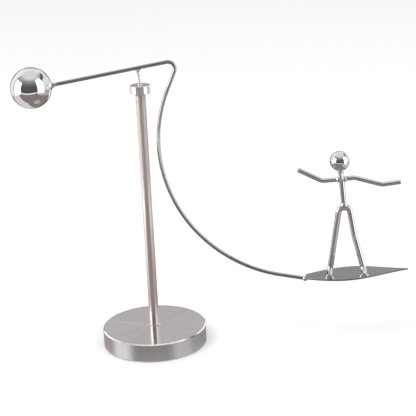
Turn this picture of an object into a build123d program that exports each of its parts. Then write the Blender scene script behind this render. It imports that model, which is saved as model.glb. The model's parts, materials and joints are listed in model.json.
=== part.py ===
"""Kinetic balancing toy: a surfer and a steel ball rock on one point above a weighted base.

All sizes are in millimetres. Z is up and the origin is the centre of the base's underside.
At rest the arm lies along X, with the ball towards -X and the surfer towards +X.
"""

from build123d import *
from math import cos, pi, radians, sin
import os

# --- base and stem -------------------------------------------------------------------------
base_diameter = 80.0
base_top = 14.5
base_top_chamfer = 0.8
base_lower_chamfer = 0.4
pad_diameter = 74.0
pad_thickness = 1.5
pad_stand_out = 0.5
pad_gap = 0.2

stem_diameter = 7.4
stem_socket_depth = 5.0
foot_countersink = 1.2

screw_diameter = 4.0
screw_clearance_hole = 4.4
screw_head_diameter = 7.0
screw_head_height = 2.8
screw_head_round = 0.4
screw_tip_chamfer = 0.5
hex_key_size = 2.5
hex_key_depth = 1.6
screw_length = 13.5
counterbore_diameter = 8.4
counterbore_depth = 4.5
washer_diameter = 7.6
washer_thickness = 1.0

# --- cap and pivot -------------------------------------------------------------------------
cap_diameter = 15.0
cap_height = 6.2
cap_top = 205.1
cap_edge_radius = 0.5
spigot_diameter = 5.0
spigot_length = 4.0
spigot_chamfer = 0.4
cap_running_gap = 0.05
cap_bore_spare = 0.2

pivot_height = 204.6
tip_radius = 0.6
tip_gap = 0.02
dimple_half_angle = 60.0
pin_diameter = 2.2
pin_end_diameter = 1.5
pin_end_rise = 0.15
pin_taper_length = 3.0

# --- balance arm ---------------------------------------------------------------------------
# The arm is drawn with its surfboard level, in a plane tilted by the rest tilt. In that plane
# a reach is measured along the board from the pivot, and a height or drop square to it.
rest_tilt = 4.6
wire_diameter = 2.8
wire_slope = 5.5
wire_height_over_pivot = 13.4
ball_diameter = 30.8
ball_reach = 81.8
ball_over_wire = 0.9
wire_in_ball = 3.0
bend_reach = 22.0
bend_radius = 5.0
bend_turn = 123.5
upper_run = 15.5
curve_radius = 104.8
curve_turn = 104.0
lower_run = 19.4

# --- surfboard -----------------------------------------------------------------------------
board_length = 77.3
board_thickness = 1.2
board_over_wire_end = 1.2
board_tail_half_width = 4.2
board_shoulder = (21.0, 12.3)
board_widest = (35.0, 13.8)
board_taper = (52.0, 9.5)
board_nose_half_width = 0.3
board_edge_radius = 0.2

# --- rider ---------------------------------------------------------------------------------
rider_reach = 140.4
leg_diameter = 4.4
hip_drop = 107.4
hip_radius = 4.8
hip_bend_radius = 3.6
right_hip_reach = 3.6
left_leg_lean = 13.5
knee_reach = 5.4
knee_drop = 22.5
knee_radius = 40.0
right_ankle_reach = 10.2
right_foot_forward = 3.5
ankle_radius = 4.5
left_toe_forward = 11.5
right_toe_forward = 15.0
toe_round = 0.5

head_diameter = 14.8
head_drop = 71.2
torso_diameter = 4.2
torso_lower_diameter = 3.8
arm_rod_diameter = 3.5
arm_end_round = 0.4
elbow_radius = 7.0
shoulder_drop = 85.2
left_elbow = (-14.7, -85.1)
left_hand = (-31.4, -75.1)
right_shoulder_end = (9.4, -84.8)
right_elbow = (29.5, -92.0)
right_hand = (43.2, -91.2)

# --- weld beads ----------------------------------------------------------------------------
pin_weld_radius = 2.7
pin_weld_rim_drop = 0.84
pin_weld_drop = 3.8
ball_weld_radius = 3.4
ball_weld_collar = 2.6
ball_weld_length = 7.6
tail_weld_radius = 2.1
hip_weld_radius = 2.6
neck_weld_radius = 2.5
shoulder_weld_radius = 2.3
foot_weld_radius = 1.5
foot_weld_height = 1.2
foot_weld_taper = 35.0
foot_weld_side = 2.0
# Each foot has two beads, given by their side of the foot and their distance behind its toe.
left_foot_beads = ((1, 2.0), (-1, 4.0))
right_foot_beads = ((1, 6.0), (-1, 4.5))

arm_plane = Plane(
    origin=(0, 0, pivot_height),
    x_dir=(cos(radians(rest_tilt)), 0, sin(radians(rest_tilt))),
    z_dir=(0, -1, 0),
)


def in_arm(reach, height, forward=0.0):
    """A point given by its reach, height and distance to the front of the arm's plane."""
    return arm_plane.from_local_coords((reach, height, forward))


def square_to(line, position=0):
    """The plane square to a line at one of its ends."""
    return Plane(origin=line @ position, z_dir=line % position)


# === stand =================================================================================
with BuildPart() as base_disc:
    with BuildSketch(Plane.XY.offset(pad_stand_out)):
        Circle(base_diameter / 2)
    extrude(amount=base_top - pad_stand_out)
    chamfer(base_disc.edges().sort_by(Axis.Z)[-1], length=base_top_chamfer)
    chamfer(base_disc.edges().sort_by(Axis.Z)[0], length=base_lower_chamfer)
    with BuildSketch(Plane.XY.offset(pad_stand_out)):
        Circle(pad_diameter / 2 + pad_gap)
    extrude(amount=pad_thickness - pad_stand_out, mode=Mode.SUBTRACT)
    with BuildSketch(Plane.XY.offset(pad_thickness)):
        Circle(counterbore_diameter / 2)
    extrude(amount=counterbore_depth, mode=Mode.SUBTRACT)
    with BuildSketch(Plane.XY.offset(pad_thickness)):
        Circle(screw_clearance_hole / 2)
    extrude(amount=base_top, mode=Mode.SUBTRACT)
    with BuildSketch(Plane.XY.offset(base_top - stem_socket_depth)):
        Circle(stem_diameter / 2)
    extrude(amount=stem_socket_depth, mode=Mode.SUBTRACT)
    socket_mouth = base_disc.edges().filter_by(GeomType.CIRCLE).group_by(Axis.Z)[-1]
    chamfer(socket_mouth.sort_by(SortBy.RADIUS)[0], length=foot_countersink)
base_disc.part.label = "base_disc"

with BuildPart() as base_pad:
    with BuildSketch():
        Circle(pad_diameter / 2)
    extrude(amount=pad_thickness)
base_pad.part.label = "base_pad"

counterbore_floor = pad_thickness + counterbore_depth
with BuildPart() as lock_washer:
    with BuildSketch(Plane.XY.offset(counterbore_floor - washer_thickness)):
        Circle(washer_diameter / 2)
        Circle(screw_clearance_hole / 2, mode=Mode.SUBTRACT)
    extrude(amount=washer_thickness)
lock_washer.part.label = "lock_washer"

screw_head_top = counterbore_floor - washer_thickness
with BuildPart() as stem_screw:
    with BuildSketch(Plane.XY.offset(screw_head_top - screw_head_height)):
        Circle(screw_head_diameter / 2)
    extrude(amount=screw_head_height)
    fillet(stem_screw.edges().sort_by(Axis.Z)[0], radius=screw_head_round)
    with BuildSketch(Plane.XY.offset(screw_head_top)):
        Circle(screw_diameter / 2)
    extrude(amount=screw_length)
    chamfer(stem_screw.edges().sort_by(Axis.Z)[-1], length=screw_tip_chamfer)
    with BuildSketch(Plane.XY.offset(screw_head_top - screw_head_height)):
        RegularPolygon(hex_key_size / 2, side_count=6, major_radius=False)
    extrude(amount=hex_key_depth, mode=Mode.SUBTRACT)
stem_screw.part.label = "stem_screw"

stem_bottom = base_top - stem_socket_depth
stem_shoulder = cap_top - cap_height - cap_running_gap
with BuildPart() as stem:
    with BuildSketch(Plane.XY.offset(stem_bottom)):
        Circle(stem_diameter / 2)
    extrude(amount=stem_shoulder - stem_bottom)
    with BuildSketch(Plane.XY.offset(stem_shoulder)):
        Circle(spigot_diameter / 2)
    extrude(amount=spigot_length)
    chamfer(stem.edges().sort_by(Axis.Z)[-1], length=spigot_chamfer)
    with BuildSketch(Plane.XY.offset(stem_bottom)):
        Circle(screw_diameter / 2)
    extrude(amount=screw_head_top + screw_length - stem_bottom, mode=Mode.SUBTRACT)
stem.part.label = "stem"

# === cap, with the dimple that the arm's point stands in ===================================
tip_seat = tip_radius + tip_gap
dimple_floor = pivot_height - tip_seat / sin(radians(dimple_half_angle))
dimple_depth = cap_top - dimple_floor
dimple_radius = dimple_depth * sin(radians(dimple_half_angle)) / cos(radians(dimple_half_angle))
with BuildPart() as stem_cap:
    with BuildSketch(Plane.XY.offset(cap_top - cap_height)):
        Circle(cap_diameter / 2)
    extrude(amount=cap_height)
    fillet(stem_cap.edges().filter_by(GeomType.CIRCLE), radius=cap_edge_radius)
    with BuildSketch(Plane.XY.offset(cap_top - cap_height)):
        Circle(spigot_diameter / 2 + cap_running_gap)
    extrude(amount=spigot_length + cap_bore_spare, mode=Mode.SUBTRACT)
    with BuildSketch(Plane.XZ):
        with BuildLine():
            Polyline((0, dimple_floor), (dimple_radius, cap_top), (0, cap_top), close=True)
        make_face()
    revolve(axis=Axis.Z, mode=Mode.SUBTRACT)
stem_cap.part.label = "stem_cap"

with BuildPart(Plane.XY.offset(pivot_height)) as pivot_tip:
    Sphere(tip_radius)
pivot_tip.part.label = "pivot_tip"

# === wire arm ==============================================================================
wire_radius = wire_diameter / 2
ball_radius = ball_diameter / 2
wire_rise = radians(wire_slope)
along_wire = (cos(wire_rise), sin(wire_rise))
wire_start_reach = -(ball_reach - ball_radius + wire_in_ball)


def wire_height(reach):
    """Height of the straight wire's centre line over the pivot."""
    return wire_height_over_pivot + reach * sin(wire_rise) / cos(wire_rise)


with BuildPart() as balance_wire:
    with BuildLine(arm_plane) as wire_path:
        top_run = Line(
            (wire_start_reach, wire_height(wire_start_reach)),
            (bend_reach, wire_height(bend_reach)),
        )
        bend = JernArc(top_run @ 1, top_run % 1, bend_radius, -bend_turn)
        drop = Line(bend @ 1, bend @ 1 + (bend % 1) * upper_run)
        curve = JernArc(drop @ 1, drop % 1, curve_radius, curve_turn)
        tail_run = Line(curve @ 1, curve @ 1 + (curve % 1) * lower_run)
    with BuildSketch(square_to(top_run)):
        Circle(wire_radius)
    sweep(path=wire_path.line)
balance_wire.part.label = "balance_wire"

with BuildPart() as pivot_pin:
    with BuildSketch(arm_plane):
        with BuildLine():
            Polyline(
                (0, pin_end_rise),
                (pin_end_diameter / 2, pin_end_rise),
                (pin_diameter / 2, pin_taper_length),
                (pin_diameter / 2, wire_height_over_pivot),
                (0, wire_height_over_pivot),
                close=True,
            )
        make_face()
    revolve(axis=Axis(arm_plane.origin, arm_plane.y_dir))
    with Locations(arm_plane.origin):
        Sphere(tip_radius + tip_gap, mode=Mode.SUBTRACT)
    add(balance_wire.part, mode=Mode.SUBTRACT)
pivot_pin.part.label = "pivot_pin"

# === surfboard =============================================================================
wire_end = arm_plane.to_local_coords(tail_run @ 1)
board_middle = wire_end.Y + board_over_wire_end
wire_end_fall = radians(bend_turn - curve_turn - wire_slope)
board_tail_reach = wire_end.X + wire_radius * sin(wire_end_fall)
board_plane = Plane(
    origin=in_arm(board_tail_reach, board_middle - board_thickness / 2),
    x_dir=arm_plane.x_dir,
    z_dir=arm_plane.y_dir,
)
with BuildPart() as surfboard:
    with BuildSketch(board_plane):
        with BuildLine():
            rail = Spline(
                (0, board_tail_half_width),
                board_shoulder,
                board_widest,
                board_taper,
                (board_length, board_nose_half_width),
            )
            Line(rail @ 0, (0, 0))
            Line((0, 0), (board_length, 0))
            Line((board_length, 0), rail @ 1)
        make_face()
        mirror(about=Plane.XZ)
    extrude(amount=board_thickness)
    rail_edges = surfboard.faces().filter_by(board_plane).edges().filter_by(GeomType.BSPLINE)
    fillet(rail_edges, radius=board_edge_radius)
surfboard.part.label = "surfboard"

# === rider =================================================================================
# The rider stands on the board's upper face, where reaches count from the pivot.
board_top = board_middle + board_thickness / 2
rider_plane = Plane(
    origin=in_arm(0, board_top),
    x_dir=arm_plane.x_dir,
    z_dir=arm_plane.y_dir,
)
leg_radius = leg_diameter / 2
foot_height = board_top + leg_radius
hip_centre = -hip_drop - hip_radius
lean = radians(left_leg_lean)


def left_leg_reach(height):
    """Reach of the left leg's centre line, which touches the hip bend and leans outwards."""
    return rider_reach - hip_radius / cos(lean) + (height - hip_centre) * sin(lean) / cos(lean)


hip_height = -hip_drop
knee = (rider_reach + knee_reach, -hip_drop - knee_drop)
right_ankle = (rider_reach + right_ankle_reach, foot_height, right_foot_forward)
with BuildPart() as rider_legs:
    with BuildLine(arm_plane) as leg_path:
        FilletPolyline(
            (left_leg_reach(foot_height), foot_height, left_toe_forward),
            (left_leg_reach(foot_height), foot_height),
            (left_leg_reach(hip_height), hip_height),
            (rider_reach + right_hip_reach, hip_height),
            knee,
            right_ankle,
            (right_ankle[0], foot_height, right_toe_forward),
            radius=[ankle_radius, hip_bend_radius, hip_bend_radius, knee_radius, ankle_radius],
        )
    with BuildSketch(square_to(leg_path.line)):
        Circle(leg_radius)
    sweep(path=leg_path.line)
    toe_ends = rider_legs.faces().sort_by(Axis.Y)[:2]
    fillet(toe_ends.edges(), radius=toe_round)
rider_legs.part.label = "rider_legs"


neck_point = in_arm(rider_reach, -head_drop - head_diameter / 2)
with BuildPart() as rider_head:
    with Locations(in_arm(rider_reach, -head_drop)):
        Sphere(head_diameter / 2)
rider_head.part.label = "rider_head"

with BuildPart() as rider_torso:
    with BuildSketch(arm_plane):
        with BuildLine():
            Polyline(
                (rider_reach, -head_drop),
                (rider_reach + torso_diameter / 2, -head_drop),
                (rider_reach + torso_diameter / 2, -shoulder_drop),
                (rider_reach + torso_lower_diameter / 2, -hip_drop),
                (rider_reach, -hip_drop),
                close=True,
            )
        make_face()
    revolve(axis=Axis(neck_point, arm_plane.y_dir))
    add(rider_head.part, mode=Mode.SUBTRACT)
    add(rider_legs.part, mode=Mode.SUBTRACT)
rider_torso.part.label = "rider_torso"


def from_rider(point):
    """A point of the arm's plane, given from the line that the rider stands on."""
    return (rider_reach + point[0], point[1])


with BuildPart() as rider_left_arm:
    with BuildLine(arm_plane) as left_arm_path:
        FilletPolyline(
            (rider_reach, -shoulder_drop),
            from_rider(left_elbow),
            from_rider(left_hand),
            radius=elbow_radius,
        )
    with BuildSketch(square_to(left_arm_path.line)):
        Circle(arm_rod_diameter / 2)
    sweep(path=left_arm_path.line)
    hand_end = rider_left_arm.edges().filter_by(GeomType.CIRCLE).sort_by(Axis.X)[0]
    fillet(hand_end, radius=arm_end_round)
    add(rider_torso.part, mode=Mode.SUBTRACT)
rider_left_arm.part.label = "rider_left_arm"

with BuildPart() as rider_right_arm:
    with BuildLine(arm_plane) as right_arm_path:
        FilletPolyline(
            (rider_reach, -shoulder_drop),
            from_rider(right_shoulder_end),
            from_rider(right_elbow),
            from_rider(right_hand),
            radius=elbow_radius,
        )
    with BuildSketch(square_to(right_arm_path.line)):
        Circle(arm_rod_diameter / 2)
    sweep(path=right_arm_path.line)
    hand_end = rider_right_arm.edges().filter_by(GeomType.CIRCLE).sort_by(Axis.X)[-1]
    fillet(hand_end, radius=arm_end_round)
    add(rider_torso.part, mode=Mode.SUBTRACT)
rider_right_arm.part.label = "rider_right_arm"

# === weld beads ============================================================================
ball_centre = in_arm(-ball_reach, wire_height(-ball_reach) + ball_over_wire)
with BuildPart() as solid_ball:
    with Locations(ball_centre):
        Sphere(ball_radius)
    add(balance_wire.part, mode=Mode.SUBTRACT)

weld_rim = wire_height_over_pivot - pin_weld_rim_drop
weld_foot = wire_height_over_pivot - pin_weld_drop
with BuildPart() as pin_weld:
    with BuildSketch(arm_plane):
        with BuildLine():
            flare = TangentArc(
                (pin_diameter / 2, weld_foot),
                (pin_weld_radius, weld_rim),
                tangent=(0, 1),
            )
            Polyline(flare @ 1, (0, wire_height_over_pivot), (0, weld_foot), flare @ 0)
        make_face()
    revolve(axis=Axis(arm_plane.origin, arm_plane.y_dir))
    add(balance_wire.part, mode=Mode.SUBTRACT)
    add(pivot_pin.part, mode=Mode.SUBTRACT)
pin_weld.part.label = "pin_weld"

# The weld at the ball is drawn along the wire, from the wire's end inside the ball.
wire_plane = Plane(origin=top_run @ 0, x_dir=top_run % 0, z_dir=arm_plane.z_dir)
with BuildPart() as ball_weld:
    with BuildSketch(wire_plane):
        with BuildLine():
            flare = TangentArc(
                (ball_weld_length, wire_radius),
                (ball_weld_collar, ball_weld_radius),
                tangent=(-1, 0),
            )
            Polyline(
                flare @ 1,
                (0, ball_weld_radius),
                (0, 0),
                (ball_weld_length, 0),
                flare @ 0,
            )
        make_face()
    revolve(axis=Axis(top_run @ 0, top_run % 0))
    add(balance_wire.part, mode=Mode.SUBTRACT)
    add(solid_ball.part, mode=Mode.SUBTRACT)
ball_weld.part.label = "ball_weld"

with BuildPart() as tail_weld:
    with Locations(tail_run @ 1):
        Sphere(tail_weld_radius)
    add(balance_wire.part, mode=Mode.SUBTRACT)
    add(surfboard.part, mode=Mode.SUBTRACT)
tail_weld.part.label = "tail_weld"

with BuildPart() as hip_weld:
    with Locations(in_arm(rider_reach, -hip_drop + leg_radius)):
        Sphere(hip_weld_radius)
    add(rider_legs.part, mode=Mode.SUBTRACT)
    add(rider_torso.part, mode=Mode.SUBTRACT)
hip_weld.part.label = "hip_weld"

with BuildPart() as neck_weld:
    with Locations(neck_point):
        Sphere(neck_weld_radius)
    add(rider_head.part, mode=Mode.SUBTRACT)
    add(rider_torso.part, mode=Mode.SUBTRACT)
neck_weld.part.label = "neck_weld"

with BuildPart() as shoulder_welds:
    for side in (-1, 1):
        with Locations(in_arm(rider_reach + side * torso_diameter / 2, -shoulder_drop)):
            Sphere(shoulder_weld_radius)
    add(rider_torso.part, mode=Mode.SUBTRACT)
    add(rider_left_arm.part, mode=Mode.SUBTRACT)
    add(rider_right_arm.part, mode=Mode.SUBTRACT)
shoulder_welds.part.label = "shoulder_welds"

left_foot = left_leg_reach(foot_height)
right_foot = right_ankle[0]
left_beads = [
    (left_foot + side * foot_weld_side, behind_toe - left_toe_forward)
    for side, behind_toe in left_foot_beads
]
right_beads = [
    (right_foot + side * foot_weld_side, behind_toe - right_toe_forward)
    for side, behind_toe in right_foot_beads
]
with BuildPart() as foot_welds:
    with BuildSketch(rider_plane):
        with Locations(left_beads + right_beads):
            Circle(foot_weld_radius)
    extrude(amount=foot_weld_height, taper=foot_weld_taper)
    add(rider_legs.part, mode=Mode.SUBTRACT)
foot_welds.part.label = "foot_welds"

# === counterweight =========================================================================
# Every piece of the arm is steel, so the arm hangs upright at its rest tilt when the first
# moments of its volume about the pivot are nil. A sealed hollow in the ball sees to both: its
# size balances the rider's end, and its place the toes, which stand out to the front.
steel_pieces = (
    balance_wire,
    pivot_pin,
    pin_weld,
    ball_weld,
    surfboard,
    tail_weld,
    rider_legs,
    foot_welds,
    rider_torso,
    hip_weld,
    rider_left_arm,
    rider_right_arm,
    shoulder_welds,
    rider_head,
    neck_weld,
)
arm_solids = [piece.part for piece in steel_pieces] + [solid_ball.part]
moment_along = sum(solid.volume * solid.center().X for solid in arm_solids)
moment_across = sum(solid.volume * solid.center().Y for solid in arm_solids)
hollow_volume = moment_along / ball_centre.X
hollow_radius = (3 * hollow_volume / (4 * pi)) ** (1 / 3)
with BuildPart() as counterweight_ball:
    add(solid_ball.part)
    with Locations(ball_centre + Vector(0, moment_across / hollow_volume, 0)):
        Sphere(hollow_radius, mode=Mode.SUBTRACT)
counterweight_ball.part.label = "counterweight_ball"

# === files =================================================================================
os.makedirs("parts", exist_ok=True)
stand_pieces = (base_disc, base_pad, lock_washer, stem_screw, stem, stem_cap, pivot_tip)
for piece in stand_pieces + steel_pieces + (counterweight_ball,):
    export_step(piece.part, f"parts/{piece.part.label}.step")
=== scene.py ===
"""Looks of the kinetic balancing toy: polished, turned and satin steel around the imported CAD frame."""

import json
from math import cos, radians, sin

import bpy
from mathutils import Matrix, Vector


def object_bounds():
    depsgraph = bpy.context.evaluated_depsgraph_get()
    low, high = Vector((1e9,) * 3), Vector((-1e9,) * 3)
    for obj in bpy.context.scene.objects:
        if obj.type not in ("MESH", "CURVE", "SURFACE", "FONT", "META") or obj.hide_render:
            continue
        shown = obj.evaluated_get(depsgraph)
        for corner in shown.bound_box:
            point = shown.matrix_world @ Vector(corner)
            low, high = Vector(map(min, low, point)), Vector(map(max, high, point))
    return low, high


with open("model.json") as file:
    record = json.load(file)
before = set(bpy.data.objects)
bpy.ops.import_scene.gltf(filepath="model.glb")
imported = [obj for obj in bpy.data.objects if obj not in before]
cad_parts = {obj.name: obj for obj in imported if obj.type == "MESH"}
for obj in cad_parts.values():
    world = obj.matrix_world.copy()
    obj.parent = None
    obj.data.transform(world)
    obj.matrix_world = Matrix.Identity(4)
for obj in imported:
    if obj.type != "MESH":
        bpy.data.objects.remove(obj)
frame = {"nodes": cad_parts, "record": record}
cad_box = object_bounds()


def grey(level):
    return (level, level, level, 1.0)


def warm_grey(level):
    """The slightly pink grey of turned stainless steel."""
    return (level * 1.03, level * 0.98, level * 0.97, 1.0)


def darker(color, share):
    """The colour with each channel brought down to this share of it."""
    return [channel * share for channel in color[:3]] + [1]


def rectangle(low_x, low_y, high_x, high_y):
    return ((low_x, low_y), (high_x, low_y), (high_x, high_y), (low_x, high_y))


# --- camera: the toy seen from the front, a little from the right and from above -------------
view_azimuth = radians(7.0)
view_elevation = radians(17.755)
view_roll = radians(2.67)
view_distance = 0.9879
view_aim_offset = Vector((-0.0027, -0.0010, -0.0019))
lens = 113.44

# --- floor, background and lights, plain and pale, in metres and watts -----------------------
background_color = grey(0.93)
floor_color = grey(0.88)
floor_reach = 6.0
light_size = 1.6
key_place = (-1.2, -1.4, 2.2)
key_power = 25.0
fill_place = (1.4, -1.2, 1.8)
fill_power = 15.0

# --- the studio around the toy, seen only in reflections --------------------------------------
# Azimuth goes in degrees from the front towards +X, and elevation in degrees over the horizon.
# The walls turn into the ceiling between two elevations.
wall_color = grey(0.42)
ceiling_color = grey(0.88)
ceiling_starts = 42.0
ceiling_complete = 68.0

# Each window has a span of azimuth, a span of elevation, the widths over which they fade, and
# its colour. A later window lies over an earlier one.
WINDOWS = {
    "left rear wall": ((-180, -106), (-30, 48), (10.0, 20.0), grey(1.10)),
    "right rear wall": ((142, 180), (-30, 48), (10.0, 20.0), grey(1.0)),
    "grey rear panel": ((-190, -160), (14, 34), (8.0, 6.0), grey(0.64)),
    "dark front": ((-44, 48), (-14, 10), (10.0, 54.0), grey(0.11)),
    "cool window": ((96, 134), (-8, 28), (6.0, 8.0), (0.88, 1.0, 1.04, 1.0)),
    "dark bar over it": ((100, 146), (36, 42), (8.0, 6.0), grey(0.12)),
    "left softbox": ((-90, -48), (-34, 32), (4.0, 4.0), grey(3.4)),
    "right softbox": ((52, 92), (-26, 49), (4.0, 4.0), grey(1.6)),
    "dark rear, left part": ((-180, -142), (-40, 10), (6.0, 5.0), grey(0.06)),
    "dark rear, right part": ((170, 190), (-40, 10), (6.0, 5.0), grey(0.06)),
}

# Cards on the table, in metres, seen only in reflections too. They lie in three layers just
# under the floor, which isn't reflected, and a higher card hides a lower one.
lower_layer = 0.003
middle_layer = 0.002
upper_layer = 0.001
white_outline = (
    (-0.54, -0.27),
    (-0.44, -0.20),
    (-0.19, -0.075),
    (-0.13, -0.04),
    (-0.11, 0.09),
    (-0.11, 0.24),
    (-0.54, 0.24),
)
CARDS = {
    "table_card": (rectangle(-0.54, -0.46, 0.24, 0.30), lower_layer, (0.29, 0.245, 0.24, 1.0)),
    "edge_card": (rectangle(-1.2, -0.66, 0.50, -0.46), lower_layer, grey(1.15)),
    "white_card": (white_outline, middle_layer, grey(0.84)),
    "back_card": (rectangle(-0.45, 0.24, 0.0, 2.0), upper_layer, grey(0.06)),
    "side_card": (rectangle(0.24, -0.30, 0.42, 0.30), lower_layer, grey(0.60)),
    "near_card": (rectangle(-0.045, -0.068, 0.050, 0.0), middle_layer, grey(0.55)),
}

# --- where the turned steel changes, in metres -----------------------------------------------
# Bevels get a painted white highlight from the first to the second radius, and the stem turns
# duller from the first to the second height above the base's underside.
rim_highlight_starts = 0.020
rim_highlight_complete = 0.030
dull_starts = 0.085
dull_complete = 0.145


def middle_of(box):
    low, high = box
    return (Vector(low) + Vector(high)) / 2


def make_camera():
    """A camera aimed near the middle of the toy, rolled a little about its line of sight."""
    forward = Vector((
        -sin(view_azimuth) * cos(view_elevation),
        cos(view_azimuth) * cos(view_elevation),
        -sin(view_elevation),
    ))
    level_right = Vector((cos(view_azimuth), sin(view_azimuth), 0.0))
    level_up = level_right.cross(forward)
    right = level_right * cos(view_roll) - level_up * sin(view_roll)
    up = level_right * sin(view_roll) + level_up * cos(view_roll)
    turn = Matrix((right, up, -forward)).transposed().to_4x4()
    data = bpy.data.cameras.new("camera")
    data.lens = lens
    camera = bpy.data.objects.new("camera", data)
    aim = middle_of(cad_box) + view_aim_offset
    camera.matrix_world = Matrix.Translation(aim - forward * view_distance) @ turn
    bpy.context.scene.collection.objects.link(camera)
    bpy.context.scene.camera = camera


class Nodes:
    """A short way to write a node tree."""

    def __init__(self, tree):
        self.tree = tree
        tree.nodes.clear()

    def add(self, kind, inputs=None, **settings):
        node = self.tree.nodes.new(kind)
        for name, value in settings.items():
            setattr(node, name, value)
        for name, value in (inputs or {}).items():
            self.feed(node.inputs[name], value)
        return node

    def feed(self, socket, value):
        """Link the value to the socket, or set it where it is a plain number or colour."""
        if isinstance(value, bpy.types.NodeSocket):
            self.tree.links.new(value, socket)
        else:
            socket.default_value = value

    def math(self, operation, first, second=0.0):
        return self.add("ShaderNodeMath", {0: first, 1: second}, operation=operation).outputs[0]

    def rise(self, value, low, high):
        """0 below low, 1 above high, smooth between them."""
        ramp = self.add(
            "ShaderNodeMapRange",
            {"Value": value, "From Min": low, "From Max": high},
            interpolation_type="SMOOTHSTEP",
        )
        return ramp.outputs["Result"]

    def band(self, value, low, high, soft):
        """1 between low and high, falling to 0 over a width of soft outside them."""
        up = self.rise(value, low - soft, low)
        down = self.math("SUBTRACT", 1.0, self.rise(value, high, high + soft))
        return self.math("MULTIPLY", up, down)

    def between(self, factor, low, high):
        """The factor spread from low to high."""
        spread = self.add("ShaderNodeMapRange", {"Value": factor, "To Min": low, "To Max": high})
        return spread.outputs["Result"]

    def mix(self, factor, first, second):
        node = self.add("ShaderNodeMix", data_type="RGBA")
        for index, value in ((0, factor), (6, first), (7, second)):
            self.feed(node.inputs[index], value)
        return node.outputs[2]

    def noise(self, vector, scale, detail=3.0):
        texture = self.add("ShaderNodeTexNoise", {"Vector": vector, "Scale": scale, "Detail": detail})
        return texture.outputs["Fac"]

    def bump(self, height, strength, distance):
        relief = {"Height": height, "Strength": strength, "Distance": distance}
        return self.add("ShaderNodeBump", relief).outputs[0]

    def principled(self, inputs):
        """The shader with these inputs, shown as the material's surface."""
        shader = self.add("ShaderNodeBsdfPrincipled", inputs)
        self.add("ShaderNodeOutputMaterial", {"Surface": shader.outputs[0]})


def new_material(name):
    """A new material and its empty node tree."""
    material = bpy.data.materials.new(name)
    material.use_nodes = True
    return material, Nodes(material.node_tree)


def make_world():
    """A plain pale background, and the studio in its place wherever something reflects it."""
    world = bpy.data.worlds.new("studio")
    world.use_nodes = True
    bpy.context.scene.world = world
    n = Nodes(world.node_tree)
    direction = n.add("ShaderNodeTexCoord").outputs["Generated"]
    xyz = n.add("ShaderNodeSeparateXYZ", {0: direction}).outputs
    ahead = n.math("MULTIPLY", xyz[1], -1.0)
    azimuth = n.math("DEGREES", n.math("ARCTAN2", xyz[0], ahead))
    elevation = n.math("DEGREES", n.math("ARCSINE", xyz[2]))
    room = n.mix(n.rise(elevation, ceiling_starts, ceiling_complete), wall_color, ceiling_color)
    for azimuths, elevations, fades, color in WINDOWS.values():
        across = n.band(azimuth, *azimuths, fades[0])
        upright = n.band(elevation, *elevations, fades[1])
        room = n.mix(n.math("MULTIPLY", across, upright), room, color)
    reflected = n.add("ShaderNodeBackground", {"Color": room, "Strength": 1.0})
    plain = n.add("ShaderNodeBackground", {"Color": background_color, "Strength": 1.0})
    path = n.add("ShaderNodeLightPath")
    mixed = n.add("ShaderNodeMixShader", {
        0: path.outputs["Is Glossy Ray"],
        1: plain.outputs[0],
        2: reflected.outputs[0],
    })
    n.add("ShaderNodeOutputWorld", {"Surface": mixed.outputs[0]})


def make_sheet(name, outline, height):
    """A level sheet with the given outline."""
    mesh = bpy.data.meshes.new(name)
    mesh.from_pydata([(x, y, height) for x, y in outline], [], [range(len(outline))])
    sheet = bpy.data.objects.new(name, mesh)
    bpy.context.scene.collection.objects.link(sheet)
    return sheet


def make_floor():
    """A pale matt floor at the height of the base's underside, which isn't reflected."""
    outline = rectangle(-floor_reach, -floor_reach, floor_reach, floor_reach)
    floor = make_sheet("floor", outline, cad_box[0][2])
    material, n = new_material("pale_floor")
    shader = n.add("ShaderNodeBsdfDiffuse", {"Color": floor_color})
    n.add("ShaderNodeOutputMaterial", {"Surface": shader.outputs[0]})
    floor.data.materials.append(material)
    floor.visible_glossy = False


def make_card(name, outline, depth, color):
    """A level card this deep under the floor, seen only in reflections."""
    card = make_sheet(name, outline, cad_box[0][2] - depth)
    material, n = new_material(name)
    shader = n.add("ShaderNodeEmission", {"Color": color, "Strength": 1.0})
    n.add("ShaderNodeOutputMaterial", {"Surface": shader.outputs[0]})
    card.data.materials.append(material)
    card.visible_camera = False
    card.visible_diffuse = False
    card.visible_shadow = False


def make_light(name, place, power):
    """A soft round light that faces the toy's middle and isn't reflected."""
    data = bpy.data.lights.new(name, "AREA")
    data.shape = "DISK"
    data.size = light_size
    data.energy = power
    light = bpy.data.objects.new(name, data)
    light.location = place
    towards_toy = middle_of(cad_box) - Vector(place)
    light.rotation_euler = towards_toy.to_track_quat("-Z", "Y").to_euler()
    light.visible_glossy = False
    bpy.context.scene.collection.objects.link(light)


def polished(name, color, roughness, wear=0.02, ripple=0.02):
    """Polished steel: faint ripples, and patches that are darker and duller by up to wear."""
    material, n = new_material(name)
    place = n.add("ShaderNodeTexCoord").outputs["Object"]
    patches = n.noise(place, scale=220.0)
    ripples = n.noise(place, scale=900.0, detail=2.0)
    patch_color = darker(color, 0.86)
    patch_share = n.between(patches, 0.0, 0.35)
    n.principled({
        "Base Color": n.mix(patch_share, color, patch_color),
        "Metallic": 1.0,
        "Roughness": n.between(patches, roughness, roughness + wear),
        "Normal": n.bump(ripples, strength=ripple, distance=0.0002),
    })
    return material


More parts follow.
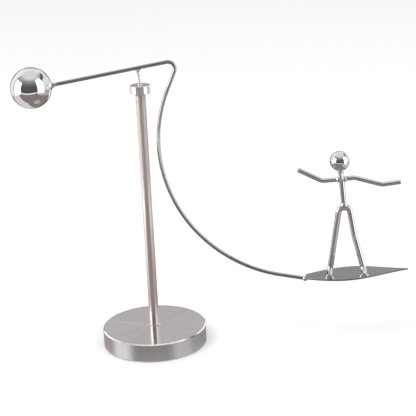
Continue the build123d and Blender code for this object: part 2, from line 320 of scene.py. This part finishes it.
def turned(name, color, face, side, anisotropy, painted_fan_sheen, lines, dull_top=0.0):
    """Steel turned on a lathe about Z: fine rings, a painted fan-shaped sheen and faint cross lines.

    Level faces have the roughness face and upright ones the roughness side. Bevels are more
    polished, and the bevels of a wide rim also get a painted white highlight. dull_top adds roughness
    higher up."""
    material, n = new_material(name)
    place = n.add("ShaderNodeTexCoord").outputs["Object"]
    xyz = n.add("ShaderNodeSeparateXYZ", {0: place}).outputs
    flat = n.add("ShaderNodeCombineXYZ", {0: xyz[0], 1: xyz[1]}).outputs[0]
    radius = n.add("ShaderNodeVectorMath", {0: flat}, operation="LENGTH").outputs["Value"]
    spoke = n.add("ShaderNodeVectorMath", {0: flat}, operation="NORMALIZE").outputs["Vector"]
    along_profile = n.math("ADD", radius, xyz[2])
    outward = n.add("ShaderNodeSeparateXYZ", {0: n.add("ShaderNodeTexCoord").outputs["Normal"]})
    levelness = n.math("ABSOLUTE", outward.outputs[2])
    level = n.rise(levelness, low=0.8, high=0.95)
    bevel = n.band(levelness, low=0.5, high=0.85, soft=0.1)

    rings = n.add(
        "ShaderNodeTexNoise",
        {"W": along_profile, "Scale": 5200.0, "Detail": 2.0},
        noise_dimensions="1D",
    )
    sectors = n.noise(spoke, scale=2.2, detail=2.0)
    scores = n.noise(spoke, scale=70.0)

    # Painted sheen: sectors of the colour are darkened to stand for the fan-shaped highlight of the
    # turned grooves.
    painted_sheen_color = darker(color, 1 - 2 * painted_fan_sheen)
    score_color = grey(0.25)
    # Painted highlight: the bevels of the wide rim are painted white, standing for the chamfer's glint.
    painted_highlight_color = grey(1.0)
    painted_rim_highlight = n.math("MULTIPLY", bevel, n.rise(radius, rim_highlight_starts, rim_highlight_complete))
    tint = n.mix(sectors, painted_sheen_color, color)
    tint = n.mix(n.between(scores, 0.0, 2 * lines), tint, score_color)
    tint = n.mix(painted_rim_highlight, tint, painted_highlight_color)

    uneven = n.between(sectors, 0.9, 1.1)
    bevel_polish = n.between(bevel, 1.0, 0.4)
    roughness = n.math("MULTIPLY", uneven, n.between(level, side, face))
    roughness = n.math("MULTIPLY", roughness, bevel_polish)
    if dull_top:
        high = n.rise(xyz[2], dull_starts, dull_complete)
        roughness = n.math("ADD", roughness, n.math("MULTIPLY", high, dull_top))

    n.principled({
        "Base Color": tint,
        "Metallic": 1.0,
        "Roughness": roughness,
        "Anisotropic": anisotropy,
        "Anisotropic Rotation": 0.25,
        "Tangent": n.add("ShaderNodeTangent", direction_type="RADIAL", axis="Z").outputs[0],
        "Normal": n.bump(rings.outputs["Fac"], strength=0.25, distance=0.00003),
    })
    return material


def satin_sheet(name, color, roughness, unevenness=0.04):
    """Steel sheet with a fine grain that runs along X, and faint darker clouds."""
    material, n = new_material(name)
    place = n.add("ShaderNodeTexCoord").outputs["Object"]
    stretched = n.add("ShaderNodeMapping", {"Vector": place, "Scale": (0.04, 1.0, 1.0)}).outputs[0]
    grain = n.noise(stretched, scale=3500.0)
    clouds = n.noise(place, scale=60.0)
    cloud_color = darker(color, 0.8)
    cloud_share = n.between(clouds, 0.0, 0.5)
    n.principled({
        "Base Color": n.mix(cloud_share, color, cloud_color),
        "Metallic": 1.0,
        "Roughness": n.between(grain, roughness - unevenness, roughness + unevenness),
        "Normal": n.bump(grain, strength=0.15, distance=0.00002),
    })
    return material


def foam_rubber(name, color):
    """Dull rubber with fine round cells."""
    material, n = new_material(name)
    place = n.add("ShaderNodeTexCoord").outputs["Object"]
    cells = n.add("ShaderNodeTexVoronoi", {"Vector": place, "Scale": 2500.0}).outputs["Distance"]
    cell_color = darker(color, 0.6)
    n.principled({
        "Base Color": n.mix(cells, cell_color, color),
        "Roughness": n.between(cells, 0.8, 0.95),
        "Normal": n.bump(cells, strength=0.4, distance=0.0001),
    })
    return material


def make_finishes():
    """The material of each slot in the record, and one more for the pin."""
    recipes = {
        "turned_steel": (turned, dict(
            color=warm_grey(0.86), face=0.17, side=0.42, anisotropy=0.9, painted_fan_sheen=0.14, lines=0.2)),
        "stem_steel": (turned, dict(
            color=(0.89, 0.82, 0.79, 1), face=0.15, side=0.31, anisotropy=0.6, painted_fan_sheen=0.03, lines=0.05,
            dull_top=0.46)),
        "cap_steel": (turned, dict(
            color=(0.93, 0.86, 0.85, 1), face=0.18, side=0.22, anisotropy=0.8, painted_fan_sheen=0.03, lines=0.05)),
        "polished_steel": (polished, dict(color=grey(0.76), roughness=0.03)),
        "wire_steel": (polished, dict(color=grey(0.45), roughness=0.05, wear=0.06)),
        "pin_steel": (polished, dict(color=grey(0.86), roughness=0.42, wear=0.05)),
        "rod_steel": (polished, dict(color=grey(0.74), roughness=0.06, wear=0.05)),
        "board_steel": (satin_sheet, dict(color=(0.36, 0.35, 0.365, 1), roughness=0.30)),
        "weld_steel": (polished, dict(color=grey(0.76), roughness=0.10, wear=0.10, ripple=0.25)),
        "screw_steel": (polished, dict(color=grey(0.55), roughness=0.25, wear=0.10)),
        "rubber_pad": (foam_rubber, dict(color=(0.035, 0.035, 0.037, 1))),
    }
    return {name: make(name, **look) for name, (make, look) in recipes.items()}


def finish_nodes():
    finishes = make_finishes()
    slots = {part["node"]: part["material_slot"] for part in frame["record"]["subparts"]}
    # The pin shares the wire's slot in the record, but it is paler and duller than the wire.
    slots["pivot_pin"] = "pin_steel"
    for name, node in frame["nodes"].items():
        for place in node.material_slots:
            place.material = finishes[slots[name]]


make_camera()
make_world()
make_floor()
for card_name, (outline, depth, color) in CARDS.items():
    make_card(card_name, outline, depth, color)
make_light("key", key_place, key_power)
make_light("fill", fill_place, fill_power)
bpy.context.scene.view_settings.view_transform = "Standard"

finish_nodes()
